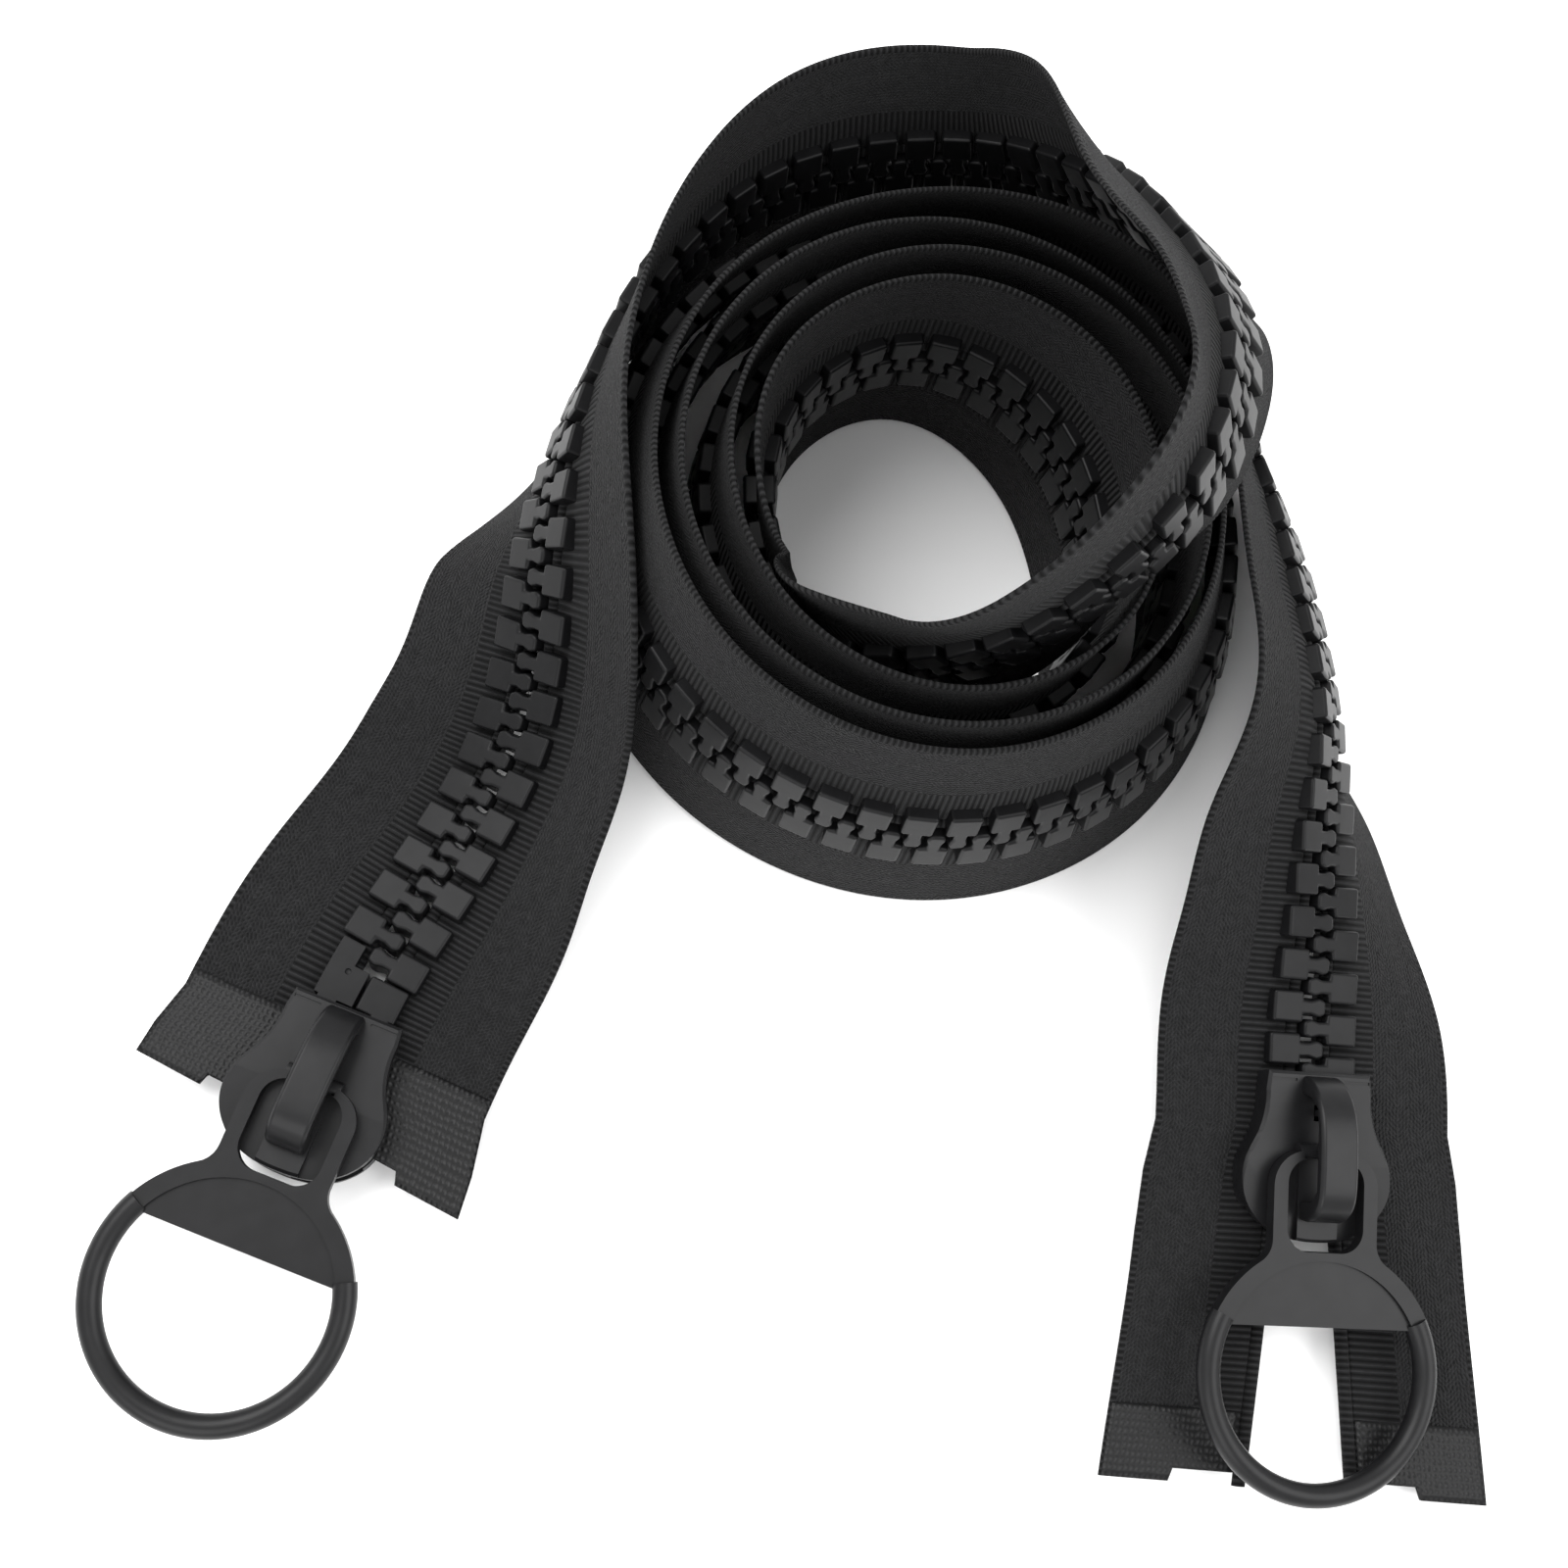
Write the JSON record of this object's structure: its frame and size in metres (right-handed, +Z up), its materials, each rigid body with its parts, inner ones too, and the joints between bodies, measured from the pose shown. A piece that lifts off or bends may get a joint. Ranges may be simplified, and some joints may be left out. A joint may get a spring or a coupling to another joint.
{
  "type": "two-way separating zipper",
  "caption": "Rolled-up two-way separating zipper with large moulded teeth, woven tapes and a slider with a ring pull at each end",
  "frame": {"origin": "middle of the whole object's footprint, on the floor", "axes": "+Z up, the roll's axis; the two tape ends leave the roll towards -Y; +X from the pin end to the stop end"},
  "size_m": [0.2202, 0.232, 0.0924],
  "materials": {
    "woven_tape": "matte black woven polyester tape, ribbed beside the teeth",
    "core_cord": "matte black braided cord",
    "moulded_teeth": "satin black moulded acetal",
    "end_film": "semi-gloss film bonded over the tape",
    "spring_steel": "plain spring steel",
    "slider_metal": "satin black painted zinc casting",
    "pull_metal": "satin to semi-gloss black painted zinc casting"
  },
  "bodies": {
    "chain": {"lower_core_cord": "core_cord", "lower_insertion_pin": "moulded_teeth", "lower_pin_end_film": "end_film", "lower_stop_end_film": "end_film", "lower_tape": "woven_tape", "lower_teeth": "moulded_teeth", "lower_top_stop": "moulded_teeth", "upper_core_cord": "core_cord", "upper_insertion_pin": "moulded_teeth", "upper_pin_end_film": "end_film", "upper_stop_end_film": "end_film", "upper_tape": "woven_tape", "upper_teeth": "moulded_teeth", "upper_top_stop": "moulded_teeth"},
    "bottom_slider": {"bottom_slider_body": "slider_metal", "bottom_slider_cap": "slider_metal", "bottom_lock_spring": "spring_steel"},
    "bottom_pawl": {"bottom_lock_pawl": "slider_metal"},
    "bottom_pull": {"bottom_pull_yoke": "pull_metal", "bottom_pull_ring": "pull_metal"},
    "top_slider": {"top_slider_body": "slider_metal", "top_slider_cap": "slider_metal", "top_lock_spring": "spring_steel"},
    "top_pawl": {"top_lock_pawl": "slider_metal"},
    "top_pull": {"top_pull_yoke": "pull_metal", "top_pull_ring": "pull_metal"}
  },
  "joints": [
    {"name": "bottom_slider_run", "type": "slide", "parent": "chain", "child": "bottom_slider", "axis": [0.3942, 0.919, 0.0004], "range_m": [0, 0.0045]},
    {"name": "bottom_pawl_lift", "type": "slide", "parent": "bottom_slider", "child": "bottom_pawl", "axis": [0.0006, -0.0007, 1], "range_m": [0, 0.0012], "stiffness_N_per_m": 60},
    {"name": "bottom_pull_swing", "type": "hinge", "parent": "bottom_slider", "child": "bottom_pull", "pos_m": [-0.07595, -0.04496, 0.01216], "axis": [-0.919, 0.3942, 0.0008], "range_deg": [0, 150]},
    {"name": "top_slider_run", "type": "slide", "parent": "chain", "child": "top_slider", "axis": [0.0837, 0.9825, 0.1666], "range_m": [0, 0.0045]},
    {"name": "top_pawl_lift", "type": "slide", "parent": "top_slider", "child": "top_pawl", "axis": [0.0885, -0.1739, 0.9808], "range_m": [0, 0.0012], "stiffness_N_per_m": 60},
    {"name": "top_pull_swing", "type": "hinge", "parent": "top_slider", "child": "top_pull", "pos_m": [0.08303, -0.06052, 0.01704], "axis": [-0.9926, 0.0673, 0.1015], "range_deg": [0, 150]}
  ]
}
